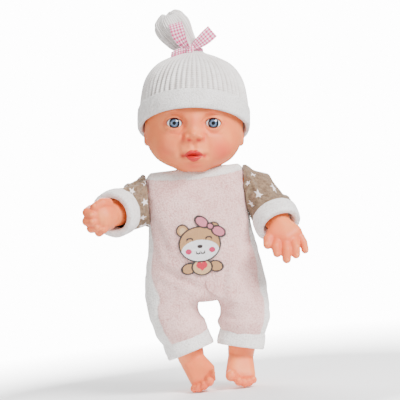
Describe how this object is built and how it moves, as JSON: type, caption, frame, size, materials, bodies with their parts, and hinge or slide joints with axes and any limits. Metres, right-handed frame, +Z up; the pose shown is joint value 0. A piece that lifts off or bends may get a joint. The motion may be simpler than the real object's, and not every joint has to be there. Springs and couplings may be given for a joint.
{
  "type": "interactive baby doll",
  "caption": "Dressed vinyl baby doll with press-to-talk belly, turning head, swinging arms and legs, and a knitted hat.",
  "frame": {"origin": "on the floor under the middle of the whole doll, with the lowest toe at z = 0", "axes": "+Z up through the standing doll, +X towards the doll's own left hand, the doll faces -Y"},
  "size_m": [0.1906, 0.1174, 0.3353],
  "materials": {
    "vinyl": "soft matt sprayed vinyl, rosy at cheeks, knuckles and toes",
    "eye": "clear-coated acrylic with a grey-blue iris",
    "shell": "moulded natural-colour plastic, lightly textured",
    "screw": "zinc-plated",
    "contact": "nickel-plated spring steel",
    "cell": null,
    "board": "green solder mask",
    "black_plastic": "black moulded plastic and resin",
    "cone": "pressed black paper cone",
    "button": "pink moulded plastic",
    "wire_red": "red insulated wire",
    "wire_black": "black insulated wire",
    "terry_pink": "pale pink stretch terry",
    "terry_white": "off-white stretch terry",
    "jersey": "taupe jersey printed with small white stars",
    "embroidery": "satin-stitch embroidery",
    "knit": "soft white rib knit",
    "ribbon": "pink and white gingham ribbon"
  },
  "bodies": {
    "torso": {"torso_front_shell": "shell", "torso_back_shell": "shell", "torso_screws": "screw", "neck_post": "shell", "battery_box": "shell", "battery_cells": "cell", "battery_springs": "contact", "battery_plates": "contact", "battery_door": "shell", "battery_door_screw": "screw", "sound_board": "board", "sound_chip": "black_plastic", "press_switch": "black_plastic", "board_screws": "screw", "speaker_basket": "contact", "speaker_cone": "cone", "speaker_ring": "shell", "belly_button_spring": "contact", "power_switch_body": "contact", "battery_wires": "wire_red", "speaker_wires": "wire_black", "romper_body": "terry_pink", "romper_collar": "terry_white", "romper_back_tape": "terry_white", "bear_patch": "embroidery"},
    "head": {"head_shell": "vinyl", "left_eye": "eye", "right_eye": "eye"},
    "hat": {"hat_crown": "knit", "hat_cuff": "knit", "hat_tassel": "knit", "hat_ribbon": "ribbon"},
    "belly_button": {"belly_button": "button"},
    "power_knob": {"power_switch_knob": "black_plastic"},
    "left_arm": {"left_arm_shell": "vinyl", "left_shoulder_disc": "shell", "left_sleeve": "jersey", "left_wrist_cuff": "terry_white"},
    "left_leg": {"left_leg_shell": "vinyl", "left_hip_disc": "shell", "left_trouser": "terry_pink", "left_ankle_cuff": "terry_white"},
    "right_arm": {"right_arm_shell": "vinyl", "right_shoulder_disc": "shell", "right_sleeve": "jersey", "right_wrist_cuff": "terry_white"},
    "right_leg": {"right_leg_shell": "vinyl", "right_hip_disc": "shell", "right_trouser": "terry_pink", "right_ankle_cuff": "terry_white"}
  },
  "joints": [
    {"name": "neck_turn", "type": "hinge", "parent": "torso", "child": "head", "pos_m": [0.003, 0.0072, 0.191], "axis": [0, 0, 1], "range_deg": [-60, 60]},
    {"name": "hat_pull_off", "type": "slide", "parent": "head", "child": "hat", "axis": [0.1045, 0, 0.9945], "range_m": [0, 0.11]},
    {"name": "left_shoulder_swing", "type": "hinge", "parent": "torso", "child": "left_arm", "pos_m": [0.037, 0.0072, 0.174], "axis": [-1, 0, 0], "range_deg": [-20, 120]},
    {"name": "right_shoulder_swing", "type": "hinge", "parent": "torso", "child": "right_arm", "pos_m": [-0.031, 0.0072, 0.174], "axis": [-1, 0, 0], "range_deg": [-75, 75]},
    {"name": "left_hip_swing", "type": "hinge", "parent": "torso", "child": "left_leg", "pos_m": [0.027, 0.0072, 0.098], "axis": [-1, 0, 0], "range_deg": [-15, 90]},
    {"name": "right_hip_swing", "type": "hinge", "parent": "torso", "child": "right_leg", "pos_m": [-0.021, 0.0072, 0.098], "axis": [-1, 0, 0], "range_deg": [-15, 90]},
    {"name": "belly_button_press", "type": "slide", "parent": "torso", "child": "belly_button", "axis": [0, 1, 0], "range_m": [0, 0.0025], "stiffness_N_per_m": 300, "springref_m": -0.002, "deforming": ["belly_button_spring"]},
    {"name": "power_switch_slide", "type": "slide", "parent": "torso", "child": "power_knob", "axis": [1, 0, 0], "range_m": [0, 0.003]}
  ]
}
